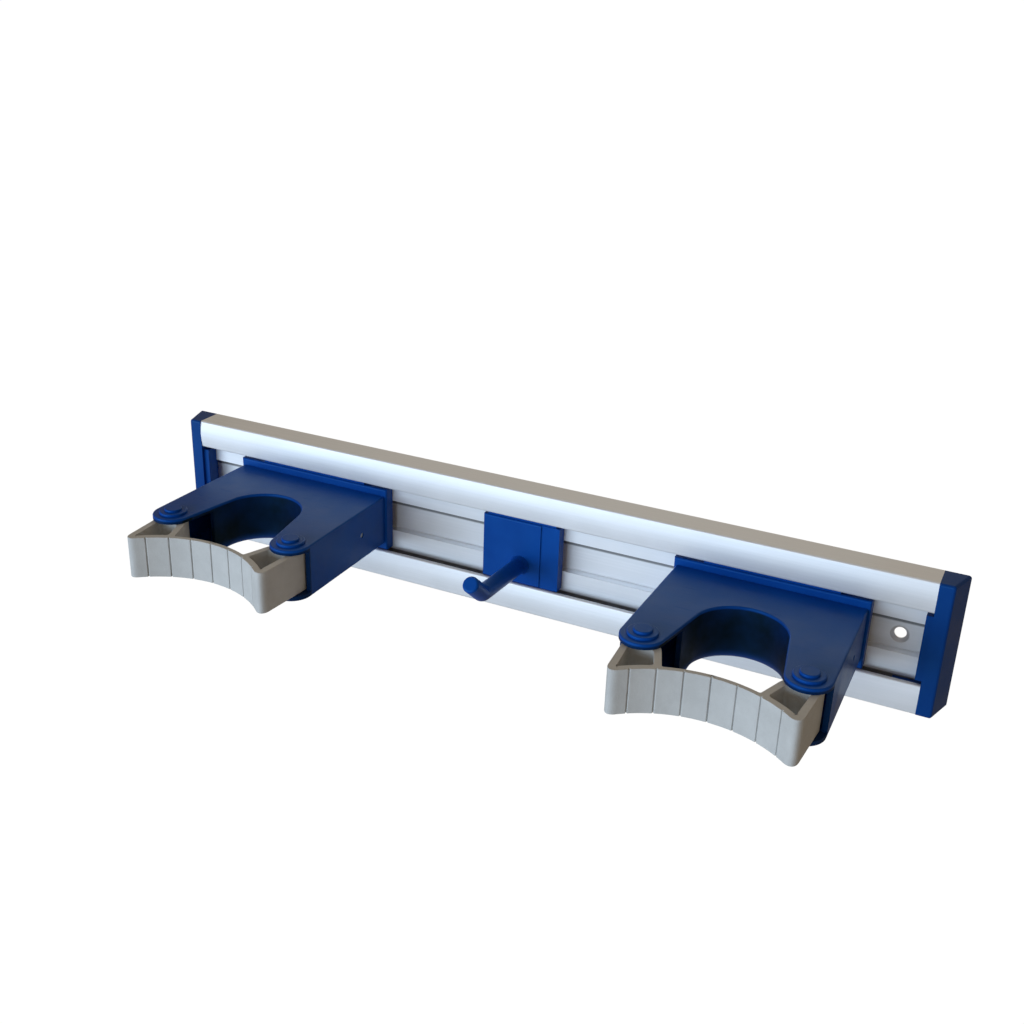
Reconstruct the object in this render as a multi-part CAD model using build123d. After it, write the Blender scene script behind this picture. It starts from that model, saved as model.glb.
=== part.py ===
from build123d import *
import math
import os

# Wall rail with two sliding tool holders, a sliding hook and two end caps.
# Millimetres. The origin is the middle of the rail's back face: +X runs along the rail to the right,
# +Y points into the wall and +Z points up, so everything lies on the -Y side of the wall.

# Rail extrusion
rail_length = 360.0
rail_height = 60.4
rail_depth = 13.5
rail_crown = 0.7
rail_wall = 1.5
rail_web = 2.0
rail_corner = 1.0
channel_height = 33.0
trough_height = 15.4
floor_setback = 7.4
floor_thickness = 1.6
screw_hole_diameter = 5.0
screw_sink_depth = 1.4
screw_hole_inset = 12.5
screw_hole_drop = 1.2

# End caps
cap_back_width = 10.4
cap_front_width = 6.2
cap_tongue_length = 2.8
cap_tongue_height = 29.6
cap_plug_length = 12.0
cap_plug_setback = 1.7
cap_fit = 0.1
cap_round = 1.2

# What slides in the rail
slide_clearance = 0.35
plate_height = 31.2
plate_setback = 1.5
plate_round = 0.8
wing_clearance = 5.0

# Tool holders
holder_inset = 66.0
flange_width = 84.0
shoe_wing_length = 58.0
lug_width = 6.0
lug_length = 26.0
lug_fit = 0.1
shoe_pin_diameter = 2.4
shoe_pin_reach = 32.0
shoe_pin_sink = 0.4
body_rear_width = 81.6
body_height = 24.5
body_plate = 2.3
body_wall = 2.2
body_round = 0.7
pin_spacing = 64.6
pin_reach = 75.3
tip_radius = 9.2
recess_radius = 18.8
recess_reach = 54.0
recess_round = 4.0
recess_wall_reach = 62.0
side_wall_reach = 74.5

# Pivot pins
pin_diameter = 6.0
pin_fit = 0.05
pin_collar_diameter = 12.6
pin_collar_height = 1.2
pin_cap_diameter = 7.8
pin_cap_height = 1.1
pin_round = 0.5

# Rubber gripper: two hollow jaws on the pivot pins, and a grooved band between them
grip_clearance = 0.3
grip_front_reach = 89.8
grip_front_radius = 50.0
grip_width = 73.0
band_width = 35.8
band_thickness = 2.2
band_gap = 0.3
jaw_wall = 3.0
jaw_boss_radius = 6.3
jaw_inner_angle = 70.0
jaw_inner_length = 14.0
jaw_corner = 2.8
jaw_inside_round = 1.2
grip_ease = 0.4
groove_pitch = 10.1
groove_width = 0.8
groove_depth = 1.2
groove_count_per_side = 3

# Hook
hook_x = -1.0
hook_plate_width = 38.0
hook_wing_length = 34.0
hook_step_width = 9.0
hook_step_depth = 0.6
hook_rod_diameter = 7.5
hook_root_diameter = 10.0
hook_root_length = 3.5
hook_reach = 49.4
hook_root_drop = 6.2
hook_arm_rise = 2.4
hook_tip_length = 14.6
hook_tip_angle = 40.0
hook_bend_radius = 4.6
hook_end_round = 1.2

# Levels that follow from the sizes above
rail_half_length = rail_length / 2
rail_half_height = rail_height / 2
holder_x = rail_half_length - holder_inset
channel_half = channel_height / 2
trough_half = trough_height / 2
screw_x = rail_half_length - screw_hole_inset
groove_front_y = -(rail_depth - rail_crown - rail_wall)
groove_half = rail_half_height - rail_wall
floor_front_y = -(rail_depth - floor_setback)
floor_back_y = floor_front_y + floor_thickness
plate_front_y = -(rail_depth - plate_setback)
plate_back_y = floor_front_y - slide_clearance
seat_z = -channel_half + slide_clearance + plate_height / 2
wing_half = groove_half - wing_clearance
body_half_height = body_height / 2
inner_half_height = body_half_height - body_plate
grip_height = 2 * (inner_half_height - grip_clearance)
pin_x = pin_spacing / 2
pin_y = -pin_reach
pin_radius = pin_diameter / 2
bore_radius = pin_radius + pin_fit
recess_y = -recess_reach
grip_centre_y = -grip_front_reach - grip_front_radius
jaw_corner_x = grip_width / 2
band_end_x = band_width / 2


def span_box(x_range, y_range, z_range):
    """A box between two values on each axis."""
    size = [high - low for low, high in (x_range, y_range, z_range)]
    middle = [(high + low) / 2 for low, high in (x_range, y_range, z_range)]
    return Pos(*middle) * Box(*size)


def rise(face, low_z, high_z):
    """A flat plan drawn at height zero, raised to fill the heights between two levels."""
    return Pos(0, 0, low_z) * extrude(face, amount=high_z - low_z, dir=(0, 0, 1))


def along_rail(face, low_x, high_x):
    """A section drawn in the YZ plane at X zero, run along the rail between two places."""
    return Pos(low_x, 0, 0) * extrude(face, amount=high_x - low_x, dir=(1, 0, 0))


def plan_face(edges):
    """A closed plan made of lines and arcs that follow each other."""
    return Face(Wire(edges))


def mirror_edges(edges):
    """The same lines and arcs on the other side of the YZ plane."""
    return [edge.mirror(Plane.YZ) for edge in edges]


def arc_between(centre, radius, start, end, middle_angle):
    """An arc about a centre that passes through a direction given in degrees."""
    middle = (
        centre[0] + radius * math.cos(math.radians(middle_angle)),
        centre[1] + radius * math.sin(math.radians(middle_angle)),
    )
    return ThreePointArc(start, middle, end)


def touch_point(point, centre, radius, side):
    """Where a straight line from a point touches a circle, on the line's left (+1) or right (-1)."""
    away = (centre[0] - point[0], centre[1] - point[1])
    distance = math.hypot(*away)
    heading = math.atan2(away[1], away[0]) - side * math.asin(radius / distance)
    reach = math.sqrt(distance**2 - radius**2)
    return (point[0] + reach * math.cos(heading), point[1] + reach * math.sin(heading))


def crossing_tangent(first, first_radius, second, second_radius):
    """The line that touches the first circle on its left side and the second on its right side."""
    away = (second[0] - first[0], second[1] - first[1])
    distance = math.hypot(*away)
    heading = math.atan2(away[1], away[0]) - math.asin((first_radius + second_radius) / distance)
    left = (-math.sin(heading), math.cos(heading))
    start = (first[0] + first_radius * left[0], first[1] + first_radius * left[1])
    end = (second[0] - second_radius * left[0], second[1] - second_radius * left[1])
    return start, end


def front_arc_y(x):
    """The gripper's front line at one place along X."""
    return grip_centre_y + math.sqrt(grip_front_radius**2 - x**2)


# Rail

def rail_upper_half():
    """The rail above its middle: a crowned front wall, the groove behind it and the channel's floor."""
    whole = (-rail_half_length, rail_half_length)
    side_y = -(rail_depth - rail_crown)
    middle_z = (channel_half + rail_half_height) / 2
    low_front = (0, side_y, channel_half)
    high_front = (0, side_y, rail_half_height)
    low_back = (0, 0, channel_half)
    high_back = (0, 0, rail_half_height)
    edges = [
        Line(low_back, low_front),
        ThreePointArc(low_front, (0, -rail_depth, middle_z), high_front),
        Line(high_front, high_back),
        Line(high_back, low_back),
    ]
    half = along_rail(Face(Wire(edges)), *whole)
    front_edges = half.edges().filter_by(Axis.X).group_by(Axis.Y)[0]
    half = fillet(front_edges, rail_corner)
    half -= span_box(whole, (groove_front_y, 0), (channel_half, groove_half))
    half += span_box(whole, (floor_front_y, floor_back_y), (trough_half, groove_half))
    half += span_box(whole, (floor_front_y, 0), (trough_half, trough_half + floor_thickness))
    return half


def make_rail():
    """The extrusion: two front walls over grooves, the channel's floor and a trough down to the wall."""
    whole = (-rail_half_length, rail_half_length)
    upper = rail_upper_half()
    web = span_box(whole, (-rail_web, 0), (-trough_half, trough_half))
    rail = upper + web + mirror(upper, Plane.XY)
    hole_radius = screw_hole_diameter / 2
    hole = Rot(90, 0, 0) * Cylinder(hole_radius, 4 * rail_web)
    sink = Rot(90, 0, 0) * Cone(hole_radius, hole_radius + screw_sink_depth, screw_sink_depth)
    for hole_x in (-screw_x, screw_x):
        rail -= Pos(hole_x, 0, -screw_hole_drop) * hole
        rail -= Pos(hole_x, -rail_web + screw_sink_depth / 2, -screw_hole_drop) * sink
    return rail


def make_right_cap():
    """The rail's right cap: a tapered cover, a tongue in the channel and a plug in each groove."""
    end = rail_half_length
    plan = Polyline(
        (end, 0),
        (end + cap_back_width, 0),
        (end + cap_front_width, -rail_depth),
        (end, -rail_depth),
        close=True,
    )
    cover = rise(Face(Wire(plan.edges())), -rail_half_height, rail_half_height)
    outer = cover.edges().filter_by(lambda edge: edge.center().X > end + cap_round)
    outer = outer.filter_by(lambda edge: edge.center().Y < -cap_round)
    cover = fillet(outer, cap_round)
    tongue_x = (end - cap_tongue_length, end)
    tongue_z = (-cap_tongue_height / 2, cap_tongue_height / 2)
    tongue = span_box(tongue_x, (plate_front_y, floor_front_y), tongue_z)
    plug_y = (groove_front_y + cap_fit, floor_front_y - cap_fit)
    plug_z = (channel_half + cap_plug_setback, groove_half - cap_fit)
    plug = span_box((end - cap_plug_length, end), plug_y, plug_z)
    return cover + tongue + plug + mirror(plug, Plane.XY)


# Shoes that slide in the rail

def sliding_shoe(plate_width, wing_length):
    """A plate in the channel, with wings that run in the grooves above and below it."""
    half = plate_width / 2
    plate_z = (seat_z - plate_height / 2, seat_z + plate_height / 2)
    plate = span_box((-half, half), (plate_front_y, plate_back_y), plate_z)
    front_edges = plate.edges().group_by(Axis.Y)[0]
    plate = fillet(front_edges, plate_round)
    wing_x = (-wing_length / 2, wing_length / 2)
    wing_y = (groove_front_y + slide_clearance, plate_back_y)
    return plate + span_box(wing_x, wing_y, (-wing_half, wing_half))


# Holder body, drawn about the middle of one holder

tip_centre = (pin_x, pin_y)
recess_centre = (0.0, recess_y)
body_corner = (body_rear_width / 2, plate_front_y)
side_touch = touch_point(body_corner, tip_centre, tip_radius, -1)
recess_touch, tip_touch = crossing_tangent(recess_centre, recess_radius, tip_centre, tip_radius)


def side_x(y):
    """The outer face of the body's side at one distance from the wall."""
    part = (body_corner[1] - y) / (body_corner[1] - side_touch[1])
    return body_corner[0] + part * (side_touch[0] - body_corner[0])


def body_plan():
    """The outline of the top and bottom plates: two arms about a round recess."""
    right = [
        Line(body_corner, side_touch),
        arc_between(tip_centre, tip_radius, side_touch, tip_touch, -90),
        Line(tip_touch, recess_touch),
        arc_between(recess_centre, recess_radius, recess_touch, (0, recess_y + recess_radius), 45),
    ]
    left = mirror_edges(right)
    back = Line((-body_corner[0], body_corner[1]), body_corner)
    return plan_face([back] + right + left[::-1])


def recess_wall_plan():
    """The wall round the recess, ending where the jaws need room."""
    outer_radius = recess_radius + body_wall
    ring = Pos(*recess_centre) * (Circle(outer_radius) - Circle(recess_radius))
    behind = Pos(0, recess_touch[1] + outer_radius) * Rectangle(4 * outer_radius, 2 * outer_radius)
    heading = math.atan2(tip_touch[1] - recess_touch[1], tip_touch[0] - recess_touch[0])
    run = (recess_touch[1] + recess_wall_reach) / -math.sin(heading)
    left = (-math.sin(heading), math.cos(heading))
    end = (recess_touch[0] + run * math.cos(heading), recess_touch[1] + run * math.sin(heading))
    cheek = Polygon(
        recess_touch,
        end,
        (end[0] + body_wall * left[0], end[1] + body_wall * left[1]),
        (recess_touch[0] + body_wall * left[0], recess_touch[1] + body_wall * left[1]),
        align=None,
    )
    return (ring & behind) + cheek + mirror(cheek, Plane.YZ)


def side_wall_plan():
    """The right side wall, from the flange to the end of the arm."""
    end_y = -side_wall_reach
    return Polygon(
        body_corner,
        (side_x(end_y), end_y),
        (side_x(end_y) - body_wall, end_y),
        (body_corner[0] - body_wall, body_corner[1]),
        align=None,
    )


def rounded_plate(plan, low_z, high_z, round_high):
    """One plate of the body, with its outer rim rounded above or below."""
    plate = rise(plan, low_z, high_z)
    rim = plate.edges().group_by(Axis.Z)[-1 if round_high else 0]
    rim = rim.filter_by(lambda edge: edge.center().Y < plate_front_y - body_round)
    return fillet(rim, body_round)


def recess_rounding():
    """What comes off the recess's lower edge to round it."""
    low_z = seat_z - body_half_height
    far = recess_radius + recess_round
    bend = recess_round * (1 - math.cos(math.radians(45)))
    edges = [
        Line((recess_radius, 0, low_z), (far, 0, low_z)),
        ThreePointArc(
            (far, 0, low_z),
            (recess_radius + bend, 0, low_z + bend),
            (recess_radius, 0, low_z + recess_round),
        ),
        Line((recess_radius, 0, low_z + recess_round), (recess_radius, 0, low_z)),
    ]
    ring = revolve(Face(Wire(edges)), axis=Axis.Z)
    return Pos(recess_centre[0], recess_centre[1], 0) * ring


def make_body():
    """The moulded holder body: two plates, the side walls and the wall round the recess."""
    plan = body_plan()
    top_z = seat_z + body_half_height
    bottom_z = seat_z - body_half_height
    inner_top = seat_z + inner_half_height
    inner_bottom = seat_z - inner_half_height
    body = rounded_plate(plan, inner_top, top_z, True)
    body += rounded_plate(plan, bottom_z, inner_bottom, False)
    walls = recess_wall_plan() + side_wall_plan() + mirror(side_wall_plan(), Plane.YZ)
    body += rise(walls, inner_bottom, inner_top)
    body -= recess_rounding()
    for side in (-1, 1):
        body -= Pos(side * pin_x, pin_y, seat_z) * Cylinder(bore_radius, 2 * body_height)
        body -= Pos(side * body_corner[0], -shoe_pin_reach, seat_z) * shoe_pin_bore()
    return body


def shoe_pin_bore():
    """The cross hole for one shoe pin."""
    return Rot(0, 90, 0) * Cylinder(shoe_pin_diameter / 2 + pin_fit, 4 * lug_width)


lug_end_y = plate_front_y - lug_length
lug_outer_x = min(body_corner[0], side_x(lug_end_y)) - body_wall - lug_fit


def make_shoe():
    """The flange that carries the body on the rail, with a lug inside each side wall."""
    shoe = sliding_shoe(flange_width, shoe_wing_length)
    lug_half_height = inner_half_height - lug_fit
    for side in (-1, 1):
        lug_x = sorted((side * (lug_outer_x - lug_width), side * lug_outer_x))
        lug_y = (lug_end_y, plate_front_y)
        lug = span_box(lug_x, lug_y, (seat_z - lug_half_height, seat_z + lug_half_height))
        lug -= Pos(side * body_corner[0], -shoe_pin_reach, seat_z) * shoe_pin_bore()
        shoe += lug
    return shoe


def make_shoe_pins():
    """The two cross pins that hold the body to its shoe."""
    outer_x = side_x(-shoe_pin_reach) - shoe_pin_sink
    inner_x = lug_outer_x - lug_width
    length = outer_x - inner_x
    pin = Rot(0, 90, 0) * Cylinder(shoe_pin_diameter / 2, length)
    place_x = (outer_x + inner_x) / 2
    return Compound(children=[Pos(side * place_x, -shoe_pin_reach, seat_z) * pin for side in (-1, 1)])


def make_pivot_pin():
    """A pivot pin with a stepped head, standing on the top plate."""
    top_z = seat_z + body_half_height
    bottom_z = seat_z - body_half_height
    shaft = Pos(0, 0, (top_z + bottom_z) / 2) * Cylinder(pin_radius, body_height)
    collar = Pos(0, 0, top_z + pin_collar_height / 2) * Cylinder(pin_collar_diameter / 2, pin_collar_height)
    collar = fillet(collar.edges().group_by(Axis.Z)[-1], pin_round)
    cap_z = top_z + pin_collar_height
    cap = Pos(0, 0, cap_z + pin_cap_height / 2) * Cylinder(pin_cap_diameter / 2, pin_cap_height)
    cap = fillet(cap.edges().group_by(Axis.Z)[-1], pin_round)
    return shaft + collar + cap


# Rubber gripper, drawn about the middle of one holder

groove_turn = groove_pitch / grip_front_radius
groove_bottom_radius = grip_front_radius + groove_depth
hinge_x = groove_bottom_radius * math.sin(groove_turn)
hinge_y = grip_centre_y + groove_bottom_radius * math.cos(groove_turn)
jaw_close_angle = 2 * math.degrees(math.atan2(pin_y - hinge_y, pin_x - hinge_x))
band_end = (band_end_x, front_arc_y(band_end_x))
jaw_inner_heading = (
    math.cos(math.radians(jaw_inner_angle)),
    math.sin(math.radians(jaw_inner_angle)),
)


def eased_grip(plan, cuts):
    """A plan of the gripper raised to its height, its rims eased, then cut through by smaller plans."""
    grip = rise(plan, seat_z - grip_height / 2, seat_z + grip_height / 2)
    levels = grip.edges().group_by(Axis.Z)
    grip = chamfer(levels[0] + levels[-1], grip_ease)
    for cut in cuts:
        grip -= rise(cut, seat_z - grip_height, seat_z + grip_height)
    return grip


def groove_plan(number):
    """One upright groove in the gripper's front, counted from the middle, with a round bottom."""
    slit = Pos(0, -2 * groove_depth) * Rectangle(groove_width, 4 * groove_depth)
    groove = Pos(0, groove_bottom_radius) * (Circle(groove_width / 2) + slit)
    return Pos(0, grip_centre_y) * Rot(0, 0, -math.degrees(number * groove_turn)) * groove


def jaw_outline():
    """The outside of the right jaw: a boss about the pin and a box out to the front corner."""
    corner = (jaw_corner_x, front_arc_y(jaw_corner_x))
    back = (
        band_end[0] + jaw_inner_length * jaw_inner_heading[0],
        band_end[1] + jaw_inner_length * jaw_inner_heading[1],
    )
    outer_touch = touch_point(corner, tip_centre, jaw_boss_radius, 1)
    inner_touch = touch_point(back, tip_centre, jaw_boss_radius, -1)
    middle_x = (corner[0] + band_end[0]) / 2
    edges = [
        Line(corner, outer_touch),
        arc_between(tip_centre, jaw_boss_radius, outer_touch, inner_touch, 75),
        Line(inner_touch, back),
        Line(back, band_end),
        ThreePointArc(band_end, (middle_x, front_arc_y(middle_x)), corner),
    ]
    outline = Sketch() + plan_face(edges)
    front_corner = outline.vertices().sort_by(Axis.Y)[0]
    return fillet(front_corner, jaw_corner)


def make_right_jaw():
    """The right jaw: a hollow rubber box that swings on its pivot pin."""
    outline = jaw_outline()
    hollow = offset(outline, amount=-jaw_wall, kind=Kind.INTERSECTION)
    front_of_pin = Rectangle(grip_width, grip_width)
    front_edge_y = pin_y - bore_radius - jaw_wall
    hollow &= Pos(pin_x, front_edge_y - grip_width / 2) * front_of_pin
    hollow = offset(hollow, amount=-jaw_inside_round, kind=Kind.INTERSECTION)
    hollow = offset(hollow, amount=jaw_inside_round, kind=Kind.ARC)
    cuts = [groove_plan(number) for number in range(2, groove_count_per_side + 1)]
    cuts.append(Pos(*tip_centre) * Circle(bore_radius))
    cuts.append(hollow)
    return eased_grip(outline, cuts)


def make_right_band():
    """The right half of the band between the jaws, hinged at its groove."""
    ring = Pos(0, grip_centre_y) * (Circle(grip_front_radius + band_thickness) - Circle(grip_front_radius))
    reach = 3 * band_thickness
    shift = band_gap / jaw_inner_heading[1]
    slope = jaw_inner_heading[0] / jaw_inner_heading[1]
    window = Polygon(
        (band_gap / 2, band_end[1] - reach),
        (band_end[0] - shift - slope * reach, band_end[1] - reach),
        (band_end[0] - shift + slope * 2 * reach, band_end[1] + 2 * reach),
        (band_gap / 2, band_end[1] + 2 * reach),
        align=None,
    )
    return eased_grip(ring & window, [groove_plan(1)])


# Hook

def make_hook():
    """The hook: a sliding plate, stepped down on its right, with a round arm that turns up at its end."""
    hook = sliding_shoe(hook_plate_width, hook_wing_length)
    half = hook_plate_width / 2
    step_y = plate_front_y + hook_step_depth
    hook -= span_box((half - hook_step_width, half), (plate_front_y, step_y), (-channel_half, channel_half))
    root_z = seat_z - hook_root_drop
    bend_z = root_z + hook_arm_rise
    rise_angle = math.radians(hook_tip_angle)
    tip = (
        0,
        -hook_reach - hook_tip_length * math.cos(rise_angle),
        bend_z + hook_tip_length * math.sin(rise_angle),
    )
    start = (0, plate_front_y + plate_round, root_z)
    path = FilletPolyline(start, (0, -hook_reach, bend_z), tip, radius=hook_bend_radius)
    start_plane = Plane(origin=path @ 0, z_dir=path % 0)
    rod = sweep(start_plane * Circle(hook_rod_diameter / 2), path=path)
    rod = fillet(rod.edges().sort_by(Axis.Y)[0], hook_end_round)
    root = Cone(hook_root_diameter / 2, hook_rod_diameter / 2, hook_root_length)
    hook += rod
    hook += start_plane * Pos(0, 0, hook_root_length / 2) * root
    return hook


# Whole object

def make_nodes():
    """Every piece by name, in place."""
    right_cap = make_right_cap()
    nodes = {
        "rail": make_rail(),
        "left_end_cap": mirror(right_cap, Plane.YZ),
        "right_end_cap": right_cap,
        "hook": Pos(hook_x, 0, 0) * make_hook(),
    }
    body = make_body()
    shoe = make_shoe()
    shoe_pins = make_shoe_pins()
    pin = make_pivot_pin()
    jaw = make_right_jaw()
    band = make_right_band()
    for name, place_x in (("left", -holder_x), ("right", holder_x)):
        place = Pos(place_x, 0, 0)
        nodes[name + "_holder_shoe"] = place * shoe
        nodes[name + "_holder_body"] = place * body
        nodes[name + "_holder_shoe_pins"] = place * shoe_pins
        nodes[name + "_holder_left_pivot_pin"] = place * Pos(-pin_x, pin_y, 0) * pin
        nodes[name + "_holder_right_pivot_pin"] = place * Pos(pin_x, pin_y, 0) * pin
        nodes[name + "_holder_left_jaw"] = place * mirror(jaw, Plane.YZ)
        nodes[name + "_holder_right_jaw"] = place * jaw
        nodes[name + "_holder_left_band"] = place * mirror(band, Plane.YZ)
        nodes[name + "_holder_right_band"] = place * band
    return nodes


os.makedirs("parts", exist_ok=True)
for node_name, shape in make_nodes().items():
    export_step(shape, "parts/" + node_name + ".step")
print("pivot pins at", round(pin_x, 3), round(pin_y, 3), "from each holder's middle")
print("band hinges at", round(hinge_x, 3), round(hinge_y, 3))
print("jaws close by", round(jaw_close_angle, 2), "degrees")
print("seat height", round(seat_z, 3), "gripper height", round(grip_height, 3))
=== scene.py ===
# %% [markdown]
# # A wall rail with two tool grips and a hook
# A length of aluminium extrusion is screwed to a wall. Two blue holders and a blue hook slide in its channel. Each
# holder has a grey rubber gripper on two pins, and a broom handle pushed against it makes the gripper close on it.
# The hard pieces come ready made from the CAD model. This lesson gives them their finishes, models the rubber, and
# sets up the camera and the light.

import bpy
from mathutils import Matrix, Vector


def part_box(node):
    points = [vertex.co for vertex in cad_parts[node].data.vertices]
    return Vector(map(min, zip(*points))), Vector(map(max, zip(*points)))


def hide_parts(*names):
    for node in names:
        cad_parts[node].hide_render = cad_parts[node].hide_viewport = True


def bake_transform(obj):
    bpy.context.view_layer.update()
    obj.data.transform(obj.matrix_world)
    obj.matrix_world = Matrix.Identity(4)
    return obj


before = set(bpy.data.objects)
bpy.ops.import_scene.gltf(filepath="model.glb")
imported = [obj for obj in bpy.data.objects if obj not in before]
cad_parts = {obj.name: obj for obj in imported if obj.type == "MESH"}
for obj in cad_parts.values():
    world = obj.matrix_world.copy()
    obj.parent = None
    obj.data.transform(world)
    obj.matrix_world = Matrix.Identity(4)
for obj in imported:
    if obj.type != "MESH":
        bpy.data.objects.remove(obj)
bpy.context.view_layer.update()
print("pieces from the CAD model:", len(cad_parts))

# %% [markdown]
# ## The camera
# A photograph of a straight rail gives its own camera away: the rail's long edges run to one vanishing point, and its
# depth and height to two others. Lens, place and tilt below come from that. The lens could be turned towards the
# object with a Track To constraint, but a matrix built from three directions also holds the small roll of a camera
# in the hand, so that is used here.

# %% Set up the camera
import bpy
import math
from mathutils import Matrix, Vector

camera_place = Vector((0.21265, -0.47130, 0.24339))
camera_ahead = Vector((-0.38848, 0.82930, -0.40168)).normalized()
camera_roll = math.radians(-2.065)
level_right = camera_ahead.cross(Vector((0, 0, 1))).normalized()
level_up = level_right.cross(camera_ahead)
camera_up = math.cos(camera_roll) * level_up + math.sin(camera_roll) * level_right
camera_right = camera_ahead.cross(camera_up)

camera_data = bpy.data.cameras.new("camera")
camera_data.sensor_width = 36
camera_data.lens = 43.276
camera_data.shift_x = -0.0063
camera_data.shift_y = -0.0029
camera = bpy.data.objects.new("camera", camera_data)
turn = Matrix((camera_right, camera_up, -camera_ahead)).transposed()
camera.matrix_world = Matrix.Translation(camera_place) @ turn.to_4x4()
scene = bpy.context.scene
scene.collection.objects.link(camera)
scene.camera = camera
scene.view_settings.view_transform = "Standard"
print("camera is", round(camera_place.length, 3), "m from the middle of the rail")

# %% [markdown]
# ## Shader maths as sums
# A material is a web of nodes, and sums made with nodes are hard to read. The small class here stands for one output
# of a node. Adding or multiplying two of them makes the Math node for it, so a mask can be written as a sum. Any other
# node comes from the one method `node`, which takes its type, its settings and what goes into its sockets.

# %% A class for shader maths
class Flow:
    """One output of a node, which can be added, subtracted and multiplied."""

    def __init__(self, tree, socket=None):
        self.tree = tree
        self.socket = socket

    def node(self, kind, settings, sockets, out=0):
        made = self.tree.nodes.new(kind)
        for name, value in settings.items():
            setattr(made, name, value)
        for name, value in sockets.items():
            if isinstance(value, Flow):
                self.tree.links.new(value.socket, made.inputs[name])
            else:
                made.inputs[name].default_value = value
        return Flow(self.tree, made.outputs[out])

    def maths(self, operation, first, second=0.0):
        return self.node("ShaderNodeMath", {"operation": operation}, {0: first, 1: second})

    def __add__(self, other):
        return self.maths("ADD", self, other)

    __radd__ = __add__

    def __sub__(self, other):
        return self.maths("SUBTRACT", self, other)

    def __rsub__(self, other):
        return self.maths("SUBTRACT", other, self)

    def __mul__(self, other):
        return self.maths("MULTIPLY", self, other)

    __rmul__ = __mul__

    def __abs__(self):
        return self.maths("ABSOLUTE", self)

    def between(self, low, high):
        """This value from low to high, eased into 0 to 1 and held outside."""
        settings = {"interpolation_type": "SMOOTHSTEP"}
        return self.node("ShaderNodeMapRange", settings, {"Value": self, "From Min": low, "From Max": high})

    def inside(self, rise, fall):
        """1 between two limits and 0 outside them, each limit a pair of values to ease over."""
        return self.between(*rise) * (1.0 - self.between(*fall))

    def blend(self, dark, light):
        """A colour between two others, by this value from 0 to 1."""
        return self.node("ShaderNodeMix", {"data_type": "RGBA"}, {0: self, 6: dark, 7: light}, 2)


print("shader sums ready")

# %% [markdown]
# ## The studio
# The rail floats on white, so the picture has no floor line to show. A pale floor lies well below it. What the camera
# sees of the floor and the sky is white, told apart by the Light Path node. All else sees the sky as a dim, beige room,
# which is what the rail's top reflects in the photograph. The floor keeps a little of its own shading, which is where
# the object's shadow shows.

# %% Floor and sky
import bmesh

white = (1.0, 1.0, 1.0, 1.0)
beige = (0.275, 0.215, 0.152, 1.0)
floor_grey = (0.60, 0.60, 0.60, 1.0)
floor_height = -1.3
floor_half_width = 300
glow_strength = 1.09
glow_share = 0.92


def seen_by_camera(flow):
    """1 for what the camera sees directly, 0 for light and reflections."""
    return flow.node("ShaderNodeLightPath", {}, {}, "Is Camera Ray")


floor_finish = bpy.data.materials.new("pale_floor")
floor_finish.use_nodes = True
floor_tree = floor_finish.node_tree
floor_shader = floor_tree.nodes["Principled BSDF"]
floor_shader.inputs["Base Color"].default_value = floor_grey
floor_shader.inputs["Roughness"].default_value = 0.9
floor_flow = Flow(floor_tree)
floor_shade = Flow(floor_tree, floor_shader.outputs[0])
floor_glow = floor_flow.node("ShaderNodeEmission", {}, {"Color": white, "Strength": glow_strength})
floor_parts = {0: glow_share * seen_by_camera(floor_flow), 1: floor_shade, 2: floor_glow}
floor_mix = floor_flow.node("ShaderNodeMixShader", {}, floor_parts)
floor_tree.links.new(floor_mix.socket, floor_tree.nodes["Material Output"].inputs["Surface"])

floor_mesh = bpy.data.meshes.new("floor")
shape = bmesh.new()
bmesh.ops.create_grid(shape, x_segments=1, y_segments=1, size=floor_half_width)
bmesh.ops.translate(shape, vec=(0, 0, floor_height), verts=shape.verts)
shape.to_mesh(floor_mesh)
shape.free()
floor = bpy.data.objects.new("floor", floor_mesh)
floor.data.materials.append(floor_finish)
scene.collection.objects.link(floor)

sky = bpy.data.worlds.new("sky")
sky.use_nodes = True
scene.world = sky
sky_colour = seen_by_camera(Flow(sky.node_tree)).blend(beige, white)
sky.node_tree.links.new(sky_colour.socket, sky.node_tree.nodes["Background"].inputs["Color"])
print("floor at", floor_height, "m")

# %% [markdown]
# ## One bluish window
# In the photograph every face towards the front is bright and bluish, and brightest where it turns a little to the
# left. The tops are dimmer and warm, and the faces to the right lie in shade. Behind each holder the channel darkens
# on the right, so the light comes from low down, at about the holders' own height. One wide lamp like a window in a
# beige room does nearly all of this. A small lamp would be just as bright on the rubber, but in the metal it would
# show as a hard streak. A much weaker lamp behind stands for a pale back wall, which the holders' tops reflect.

# %% The window and the back wall
def window(name, place, width, height, watts, tint):
    """A rectangular lamp that looks at the rail."""
    data = bpy.data.lights.new(name, "AREA")
    data.shape = "RECTANGLE"
    data.size = width
    data.size_y = height
    data.energy = watts
    data.color = tint
    lamp = bpy.data.objects.new(name, data)
    lamp.location = place
    lamp.rotation_euler = (-Vector(place)).to_track_quat("-Z", "Y").to_euler()
    scene.collection.objects.link(lamp)


pale_blue = (0.66, 0.82, 1.0)
pale_grey = (0.86, 0.90, 0.88)
window("window_lamp", place=(-1.02, -2.16, 0.13), width=2.6, height=1.15, watts=52.0, tint=pale_blue)
window("back_wall_lamp", place=(-0.6, 1.75, 1.54), width=1.6, height=1.0, watts=5.0, tint=pale_grey)

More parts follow.
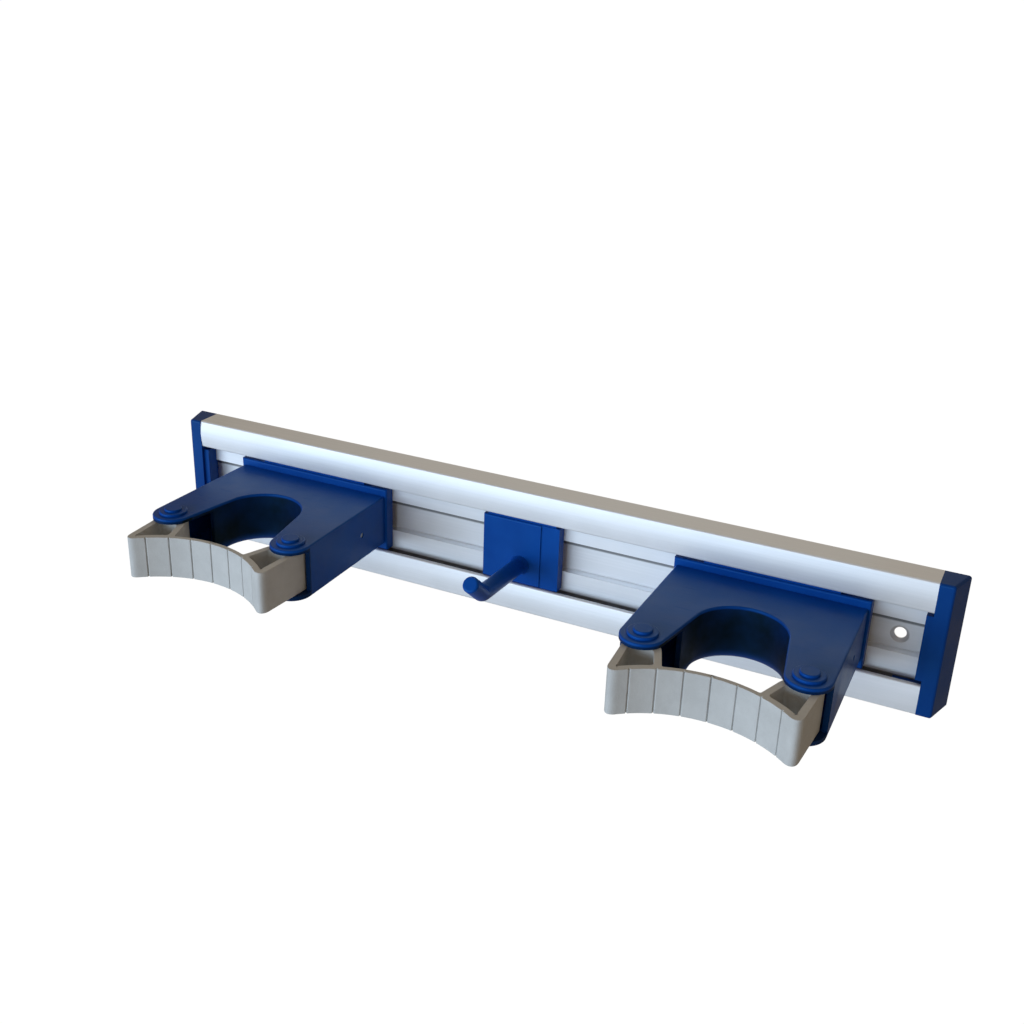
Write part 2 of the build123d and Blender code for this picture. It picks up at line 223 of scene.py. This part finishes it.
# %% [markdown]
# ## Natural aluminium
# The rail is pressed through a die, so fine lines run along its whole length, and it is then etched and anodised to a
# satin finish. Half of its light comes back as from a dull surface and half as from a blurred mirror, which is what a
# Metallic value of one half gives. The lines are a noise pattern stretched hard along the rail. The same pattern moves
# the roughness, because a scored strip scatters more light. A second, soft noise makes the dull patches that hands
# leave. Shade is painted into the colour in the lower groove and in the corner under the channel's upper step, where
# the metal is darkened towards a dark grey. The lower step is a ledge that the sliding plates polish.
# A plain brushed picture would do on a flat plate, but noise in Object coordinates also follows ridges and channel.

# %% Satin aluminium
def new_finish(name):
    """A new material with its shader, and a start for its shader sums."""
    finish = bpy.data.materials.new(name)
    finish.use_nodes = True
    return finish, finish.node_tree.nodes["Principled BSDF"], Flow(finish.node_tree)


def set_shader(shader, flow, values):
    """Puts numbers on the shader's sockets, and links what varies."""
    for name, value in values.items():
        if isinstance(value, Flow):
            flow.tree.links.new(value.socket, shader.inputs[name])
        else:
            shader.inputs[name].default_value = value


def place_of(flow):
    """The point of the surface in the object's own space, in metres."""
    return flow.node("ShaderNodeTexCoord", {}, {}, "Object")


def axis_of(flow, place, axis):
    """One coordinate of a point."""
    return flow.node("ShaderNodeSeparateXYZ", {}, {0: place}, axis)


def cloud(flow, place, scale, detail, rough):
    """Soft random patches, so many to the metre."""
    sockets = {"Vector": place, "Scale": scale, "Detail": detail, "Roughness": rough}
    return flow.node("ShaderNodeTexNoise", {}, sockets)


def stretched(flow, place, scale):
    """A point with each axis scaled, to draw a pattern out along one of them."""
    return flow.node("ShaderNodeMapping", {}, {"Vector": place, "Scale": scale})


def dents(flow, height, strength, distance):
    """A surface normal bent by a height."""
    return flow.node("ShaderNodeBump", {}, {"Height": height, "Strength": strength, "Distance": distance})


# Limits on the rail in metres: heights from its middle, and depths from the wall.
groove_heights = ((-0.0292, -0.0287), (-0.0180, -0.0172))
groove_mouth = (-0.0113, -0.0110)
corner_heights = ((0.0040, 0.0048), (0.0079, 0.0083))
corner_mouth = (-0.0058, -0.0054)
ledge_heights = ((-0.0081, -0.0079), (-0.0075, -0.0073))
ledge_depths = ((-0.0060, -0.0058), (-0.0025, -0.0022))
dull_metal = (0.81, 0.84, 0.87, 1)
bright_metal = (0.89, 0.91, 0.94, 1)
# Painted shade: the dark grey that the lower groove and the corner under the upper step are blended towards.
rail_shade_grey = (0.05, 0.05, 0.05, 1)

aluminium, shader, flow = new_finish("satin_aluminium")
place = place_of(flow)
across = axis_of(flow, place, "Y")
up = axis_of(flow, place, "Z")
die_lines = cloud(flow, stretched(flow, place, (3, 900, 900)), scale=1.0, detail=4.0, rough=0.6)
fine_lines = cloud(flow, stretched(flow, place, (12, 3200, 3200)), scale=1.0, detail=2.0, rough=0.5)
hand_marks = cloud(flow, place, scale=38.0, detail=4.0, rough=0.55).between(0.35, 0.75)
metal_tone = (0.55 * die_lines + 0.25 * fine_lines + 0.2 * hand_marks).between(0.2, 0.8)
# Painted shade: masks for the lower groove and the corner under the upper step, which darken the base colour there.
groove_painted_shade = across.between(*groove_mouth) * up.inside(*groove_heights)
corner_painted_shade = across.between(*corner_mouth) * up.inside(*corner_heights)
rail_painted_shade = 0.75 * groove_painted_shade + 0.75 * corner_painted_shade
polish = up.inside(*ledge_heights) * across.inside(*ledge_depths)
set_shader(shader, flow, {
    "Base Color": rail_painted_shade.blend(metal_tone.blend(dull_metal, bright_metal), rail_shade_grey),
    "Metallic": 0.5 + 0.5 * polish,
    "Roughness": 0.45 + 0.10 * die_lines + 0.07 * hand_marks - 0.15 * polish,
    "Specular IOR Level": 0.0,
    "Normal": dents(flow, die_lines + 0.5 * fine_lines, strength=0.10, distance=0.0002),
})
print("rail finish:", aluminium.name)

# %% [markdown]
# ## Blue moulded plastic
# The caps, shoes, holder bodies, pins and hook are injection moulded. Such a surface is nearly smooth, with a very fine
# grain from the mould's steel, faint waves where the plastic flowed and cooled, and small scuffs from use. The colour
# itself is even, and only the pigment's slow drift shows. Most of what the eye reads as plastic is the change in gloss.
# The wall of each round recess and the front ends of the side walls carry painted shade: a darker colour, and more
# roughness. Two masks mark those places by their distance from known points, so no second material is needed there.
# The end caps are a darker batch.

# %% Blue plastic
# Places on a holder in metres, from the rail's middle and the wall. The squeeze draws the recess out to the front.
holder_aside = 0.114
recess_out = 0.054
recess_reach = (0.0258, 0.0268)
front_squeeze = 0.45
wall_front = (-0.0742, -0.0738)
wall_top = (0.0102, 0.0110)
recess_foot = (-0.0125, -0.0070)
wall_foot = (-0.0128, -0.0122)
# Painted shade: the dark navy for the recess wall and the side walls' front ends.
plastic_shade_navy = (0.001, 0.004, 0.012, 1)


def recess_wall(flow, place):
    """1 on the wall of a holder's recess, 0 elsewhere, fading at the recess's lower edge."""
    aside = abs(axis_of(flow, place, "X")) - holder_aside
    back = axis_of(flow, place, "Y") + recess_out
    back = flow.maths("MAXIMUM", back, front_squeeze * back)
    reach = flow.maths("SQRT", aside * aside + back * back)
    return (1.0 - reach.between(*recess_reach)) * axis_of(flow, place, "Z").inside(recess_foot, wall_top)


def wall_ends(flow, place):
    """1 on the front ends of a holder's side walls, which get painted shade, 0 elsewhere."""
    in_front = 1.0 - axis_of(flow, place, "Y").between(*wall_front)
    return in_front * axis_of(flow, place, "Z").inside(wall_foot, wall_top)


def blue_plastic(name, deep, bright, roughness):
    """One batch of the blue plastic."""
    finish, shader, flow = new_finish(name)
    place = place_of(flow)
    drift = cloud(flow, place, scale=55.0, detail=3.0, rough=0.5).between(0.3, 0.7)
    grain = cloud(flow, place, scale=2600.0, detail=2.0, rough=0.6)
    waves = cloud(flow, place, scale=95.0, detail=2.0, rough=0.4)
    scuffs = cloud(flow, stretched(flow, place, (60, 900, 700)), scale=1.0, detail=3.0, rough=0.7).between(0.58, 0.78)
    pigment = (0.8 * drift + 0.2 * grain).blend(deep, bright)
    # Painted shade on the recess wall and the side walls' front ends, in colour and roughness.
    plastic_painted_shade = recess_wall(flow, place) * (0.7 + 0.3 * drift) + 0.75 * wall_ends(flow, place)
    set_shader(shader, flow, {
        "Base Color": plastic_painted_shade.blend(pigment, plastic_shade_navy),
        "Roughness": roughness + 0.10 * drift + 0.16 * scuffs + 0.2 * plastic_painted_shade,
        "Normal": dents(flow, 0.35 * grain + 3.0 * waves + 0.4 * scuffs, strength=0.16, distance=0.0003),
        "IOR": 1.5,
        "Specular IOR Level": 0.3,
        "Specular Tint": (0.2, 0.7, 1.0, 1.0),
    })
    return finish


body_blue = blue_plastic(
    "moulded_blue", deep=(0.0022, 0.051, 0.308, 1), bright=(0.0027, 0.065, 0.362, 1), roughness=0.34
)
cap_blue = blue_plastic("cap_blue", deep=(0.0016, 0.035, 0.205, 1), bright=(0.002, 0.044, 0.243, 1), roughness=0.36)
print("plastic finishes:", body_blue.name, cap_blue.name)

# %% [markdown]
# ## Grey rubber
# The gripper is a soft rubber, matt and a little chalky. Dust and the powder that rubber sheds lie on it in patches.
# It scatters nearly all its light, so its grain has to be in the surface: a fine bump, with a coarser one over it for
# the mould's blasted face.

# %% Grey rubber
rubber, shader, flow = new_finish("grey_rubber_skin")
place = place_of(flow)
dust = cloud(flow, place, scale=70.0, detail=5.0, rough=0.6).between(0.35, 0.7)
skin = cloud(flow, place, scale=1500.0, detail=3.0, rough=0.65)
speckle = cloud(flow, place, scale=420.0, detail=2.0, rough=0.5)
rubber_tone = 0.35 * dust + 0.35 * skin + 0.3 * speckle
mid_grey = (0.475, 0.487, 0.483, 1)
chalk_grey = (0.628, 0.645, 0.638, 1)
set_shader(shader, flow, {
    "Base Color": rubber_tone.blend(mid_grey, chalk_grey),
    "Roughness": 0.60 + 0.16 * dust + 0.06 * skin,
    "Normal": dents(flow, skin + 0.6 * speckle, strength=0.22, distance=0.00025),
    "IOR": 1.5,
})
print("gripper finish:", rubber.name)

# %% [markdown]
# ## Steel cross pins
# A small pin on each side holds the holder to its shoe, and only its end shows. A cut end has fine rings about its
# middle. The pins of both holders lie at one distance from the rail and one height, so the distance from that line
# gives the rings on all four.

# %% Steel pins
steel, shader, flow = new_finish("cut_steel")
place = place_of(flow)
pin_out = 0.032
pin_drop = 0.00055
ring_rate = 26000.0
out_y = axis_of(flow, place, "Y") + pin_out
out_z = axis_of(flow, place, "Z") + pin_drop
ring_radius = flow.maths("SQRT", out_y * out_y + out_z * out_z)
rings = 0.5 + 0.5 * flow.maths("SINE", ring_radius * ring_rate)
spots = cloud(flow, place, scale=1800.0, detail=3.0, rough=0.6)
dark_steel = (0.48, 0.48, 0.47, 1)
bright_steel = (0.66, 0.66, 0.65, 1)
set_shader(shader, flow, {
    "Base Color": spots.between(0.3, 0.7).blend(dark_steel, bright_steel),
    "Metallic": 1.0,
    "Roughness": 0.26 + 0.14 * spots,
    "Normal": dents(flow, rings + spots, strength=0.12, distance=0.00005),
})
print("pin finish:", steel.name)

# %% [markdown]
# ## Dress the CAD pieces
# The hard pieces already have their true shape, with rounded edges, so they keep their meshes and only change their
# material. Each piece's name says what it is made of.

# %% Give the CAD pieces their finishes
def finish_for(name):
    """The finish of one CAD piece."""
    if name == "rail":
        return aluminium
    if name.endswith("shoe_pins"):
        return steel
    if name.endswith("end_cap"):
        return cap_blue
    return body_blue


for name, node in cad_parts.items():
    node.data.materials.clear()
    node.data.materials.append(finish_for(name))
print("finishes set on", len(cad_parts), "pieces")

# %% [markdown]
# ## Draw half a gripper
# A gripper is one rubber moulding: a hollow box round each pin, and a thin band between them with upright grooves, so
# that it folds like a strip of shutters. The two sides are alike, so one half is modelled and mirrored. Its plan is
# drawn as with a pen: `spin` sweeps a vertex along an arc, and extruding a vertex draws a straight edge. The sizes are
# in millimetres from the middle of a holder, as in the CAD model.

# %% Pen strokes and the outline
front_centre = Vector((0, -139.8, 0))
front_radius = 50.0
band_thickness = 2.2
groove_depth = 0.45
groove_half = 0.25
groove_pitch = 10.1
groove_turn = math.degrees(groove_pitch / front_radius)
strip_steps = 10
pin_centre = Vector((32.3, -75.3, 0))
boss_radius = 6.3
box_wall = 3.0
box_half_width = 36.5
band_half_width = 17.9
cheek_slope = math.radians(70)
cheek_length = 14
corner_turn = 8.0


def draw_line(plan, start, end):
    """A straight edge from a vertex to a point."""
    tip = bmesh.ops.extrude_vert_indiv(plan, verts=[start])["verts"][0]
    tip.co = end
    return tip


def draw_arc(plan, start, centre, degrees, steps):
    """A row of edges swept from a vertex about a centre; seen from above, minus is clockwise."""
    angle = math.radians(degrees)
    swept = bmesh.ops.spin(plan, geom=[start], cent=centre, axis=(0, 0, 1), angle=angle, steps=steps)
    return [item for item in swept["geom_last"] if isinstance(item, bmesh.types.BMVert)][0]


def about_front(radius, degrees):
    """A point about the centre of the gripper's hollow front, turned to the right from straight back."""
    angle = math.radians(degrees)
    return front_centre + Vector((math.sin(angle), math.cos(angle), 0)) * radius


def turn_to(x):
    """The turn about that centre that reaches some distance to the right along the front."""
    return math.degrees(math.asin(x / front_radius))


def turn_of(point):
    """The turn about that centre of any point."""
    return math.degrees(math.atan2(point.x - front_centre.x, point.y - front_centre.y))


def meet_front(start, way, depth):
    """Where a line going back meets the arc that runs some depth behind the front."""
    out = start - front_centre
    ahead = out.dot(way)
    return start + way * (math.sqrt(ahead**2 - out.length_squared + (front_radius + depth)**2) - ahead)


edge_turn = turn_to(groove_half)
box_corner = about_front(front_radius, turn_to(box_half_width))
band_end = about_front(front_radius, turn_to(band_half_width))
cheek_way = Vector((math.cos(cheek_slope), math.sin(cheek_slope), 0))
elbow = band_end + cheek_length * cheek_way


def touch_boss(point, side):
    """Where a line from a point touches the boss round the pin, and the boss's angle there."""
    away = pin_centre - point
    heading = math.atan2(away.y, away.x) - side * math.asin(boss_radius / away.length)
    angle = math.degrees(heading) - side * 90
    spot = Vector((math.cos(math.radians(angle)), math.sin(math.radians(angle)), 0))
    return pin_centre + boss_radius * spot, angle


outer_touch, outer_angle = touch_boss(box_corner, 1)
inner_angle = touch_boss(elbow, -1)[1]
band_root = meet_front(band_end, cheek_way, band_thickness)


def draw_outline(plan):
    """The outside of the right half, from the groove at the middle, round the box and back along the band."""
    groove_floor = front_radius + groove_depth
    first = plan.verts.new(about_front(groove_floor + groove_half, 0))
    pen = draw_arc(plan, first, about_front(groove_floor, 0), -90, steps=4)
    pen = draw_line(plan, pen, about_front(front_radius, edge_turn))
    reached = edge_turn
    for number in (1, 2, 3):
        groove = number * groove_turn
        pen = draw_arc(plan, pen, front_centre, reached - (groove - edge_turn), steps=strip_steps)
        floor_middle = about_front(groove_floor, groove)
        pen = draw_line(plan, pen, floor_middle + groove_half * (about_front(1, groove - 90) - front_centre))
        pen = draw_arc(plan, pen, floor_middle, -180, steps=8)
        reached = groove + edge_turn
        pen = draw_line(plan, pen, about_front(front_radius, reached))
    pen = draw_arc(plan, pen, front_centre, reached - (turn_of(box_corner) - corner_turn), steps=2)
    pen = draw_line(plan, pen, box_corner)
    pen = draw_line(plan, pen, outer_touch)
    pen = draw_arc(plan, pen, pin_centre, inner_angle - outer_angle, steps=18)
    pen = draw_line(plan, pen, elbow)
    pen = draw_line(plan, pen, band_root)
    pen = draw_arc(plan, pen, front_centre, turn_of(band_root), steps=14)
    bmesh.ops.contextual_create(plan, geom=[pen, first])


plan = bmesh.new()
draw_outline(plan)
print("outline edges:", len(plan.edges), "box corner at", [round(value, 2) for value in box_corner[:2]])

# %% [markdown]
# ## Hollow it and raise it
# The box is hollow from top to bottom, with a bore for its pin. A Boolean could cut both, but it leaves untidy edges
# that a bevel trips over. Here the holes are drawn in the plan too: `triangle_fill` fills the plan between the loops,
# and one extrusion raises the walls.

# %% Holes and height
bore_radius = 3.05
grip_low, grip_high = -10.2, 9.1
hollow_back = pin_centre.y - bore_radius - box_wall
cheek_side = Vector((cheek_way.y, -cheek_way.x, 0))
side_way = (outer_touch - box_corner).normalized()
side_in = Vector((-side_way.y, side_way.x, 0))


def along(start, way, y):
    """The point of a slanting line at one distance from the wall."""
    return start + way * ((y - start.y) / way.y)


def draw_hollow(plan):
    """The opening of the box, one wall's thickness inside its outline."""
    inner_line = band_end + box_wall * cheek_side
    outer_line = box_corner + box_wall * side_in
    front_left = meet_front(inner_line, cheek_way, box_wall)
    front_right = meet_front(outer_line, side_way, box_wall)
    first = plan.verts.new(front_left)
    pen = draw_arc(plan, first, front_centre, turn_of(front_left) - turn_of(front_right), steps=3)
    pen = draw_line(plan, pen, along(outer_line, side_way, hollow_back))
    pen = draw_line(plan, pen, along(inner_line, cheek_way, hollow_back))
    bmesh.ops.contextual_create(plan, geom=[pen, first])
    return [front_left, front_right, along(outer_line, side_way, hollow_back), pen.co.copy()]


hollow_corners = draw_hollow(plan)
bmesh.ops.create_circle(plan, segments=40, radius=bore_radius, matrix=Matrix.Translation(pin_centre))
bmesh.ops.triangle_fill(plan, use_beauty=True, use_dissolve=True, edges=plan.edges[:])
bmesh.ops.translate(plan, vec=(0, 0, grip_low), verts=plan.verts)
raised = bmesh.ops.extrude_face_region(plan, geom=plan.faces[:])["geom"]
raised_verts = [item for item in raised if isinstance(item, bmesh.types.BMVert)]
bmesh.ops.translate(plan, vec=(0, 0, grip_high - grip_low), verts=raised_verts)
bmesh.ops.recalc_face_normals(plan, faces=plan.faces)
print("raised gripper half:", len(plan.faces), "faces,", round(plan.calc_volume()), "cubic mm")

# %% [markdown]
# ## Round its corners
# Rubber never has a knife edge, because it would tear there. The upright corners are rounded first, each by its own
# amount, and then the rims all round at the top and the bottom. `bevel` does both. Left to itself it picks a profile
# and a material of its own, so these are given. The widest rounding ends just where the front's arc does, and
# `remove_doubles` joins the points that fall together there. The rims are bevelled without clamping: the short edges in
# the grooves would otherwise hold the rounding back everywhere.

# %% Bevels
same_spot = 0.02


def upright_edges(solid, spots):
    """The upright edges that stand on some points of the plan."""
    found = []
    for edge in solid.edges:
        low, high = edge.verts
        stands = (low.co - high.co).xy.length < 0.001
        if stands and any((low.co - spot).xy.length < same_spot for spot in spots):
            found.append(edge)
    return found


def round_off(solid, edges, amount, segments, clamp=True):
    """Rounds some edges of the solid."""
    bmesh.ops.bevel(
        solid, geom=edges, offset=amount, offset_type="OFFSET", affect="EDGES", segments=segments, profile=0.5,
        material=-1, clamp_overlap=clamp,
    )


groove_lips = []
for number in (0, 1, 2, 3):
    for side in (-1, 1):
        groove_lips.append(about_front(front_radius, number * groove_turn + side * edge_turn))
round_off(plan, upright_edges(plan, [box_corner]), amount=7.1, segments=10)
round_off(plan, upright_edges(plan, hollow_corners), amount=1.3, segments=5)
round_off(plan, upright_edges(plan, [elbow, band_root]), amount=0.8, segments=4)
round_off(plan, upright_edges(plan, groove_lips), amount=0.3, segments=3)
bmesh.ops.remove_doubles(plan, verts=plan.verts, dist=same_spot)


def rim_edges(solid):
    """The edges between the flat top or bottom and an upright face, but not at the cut through the middle."""
    found = []
    for edge in solid.edges:
        flat = [abs(face.normal.z) > 0.99 for face in edge.link_faces]
        if sorted(flat) == [False, True] and min(abs(vert.co.x) for vert in edge.verts) > 0.001:
            found.append(edge)
    return found


round_off(plan, rim_edges(plan), amount=0.2, segments=2, clamp=False)
print("rounded gripper half:", len(plan.faces), "faces")

# %% [markdown]
# ## Cut the band so that it can bend
# A mesh bends only where it has vertices. `bisect_plane` slices the band crosswise about every millimetre, so that it
# can curl smoothly when the jaws close. Each slice runs through points that the front already has, because slices next
# to them would leave slivers, which spoil smooth shading. Then the half goes to metres, and gets a mirrored twin.

# %% Slices
last_slice = turn_to(17.5)
step_turn = (groove_turn - 2 * edge_turn) / strip_steps
slice_turns = []
for strip in (0, 1):
    for step in range(1, strip_steps):
        slice_turns.append(strip * groove_turn + edge_turn + step * step_turn)
for slice_turn in slice_turns:
    if slice_turn < last_slice:
        whole = plan.verts[:] + plan.edges[:] + plan.faces[:]
        across_way = about_front(1, slice_turn + 90) - front_centre
        bmesh.ops.bisect_plane(plan, geom=whole, dist=0.001, plane_co=front_centre, plane_no=across_way)
to_metres = 0.001
bmesh.ops.scale(plan, vec=(to_metres, to_metres, to_metres), verts=plan.verts)
print("sliced gripper half:", len(plan.faces), "faces")

# %% [markdown]
# ## Four gripper halves
# Smooth shading with weighted normals keeps the big flat faces flat and lets only the rounded rims turn the light.


def gripper_half(holder, side):
    """One half of a holder's gripper, in place."""
    middle = sum(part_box(holder + "_body"), Vector()) / 2
    half = plan.copy()
    if side == "left":
        bmesh.ops.scale(half, vec=(-1, 1, 1), verts=half.verts)
        bmesh.ops.recalc_face_normals(half, faces=half.faces)
    bmesh.ops.translate(half, vec=(middle.x, 0, 0), verts=half.verts)
    for face in half.faces:
        face.smooth = True
    name = holder + "_" + side + "_gripper_half"
    mesh = bpy.data.meshes.new(name)
    half.to_mesh(mesh)
    half.free()
    piece = bpy.data.objects.new(name, mesh)
    scene.collection.objects.link(piece)
    piece.modifiers.new("weighted", "WEIGHTED_NORMAL")
    depsgraph = bpy.context.evaluated_depsgraph_get()
    settled = bpy.data.meshes.new_from_object(piece.evaluated_get(depsgraph))
    piece.modifiers.clear()
    piece.data = settled
    piece.data.materials.append(rubber)
    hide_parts(holder + "_" + side + "_jaw", holder + "_" + side + "_band")
    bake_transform(piece)
    return piece


grippers = []
for holder in ("left_holder", "right_holder"):
    for side in ("left", "right"):
        grippers.append(gripper_half(holder, side))
plan.free()
print("gripper pieces:", [piece.name for piece in grippers])
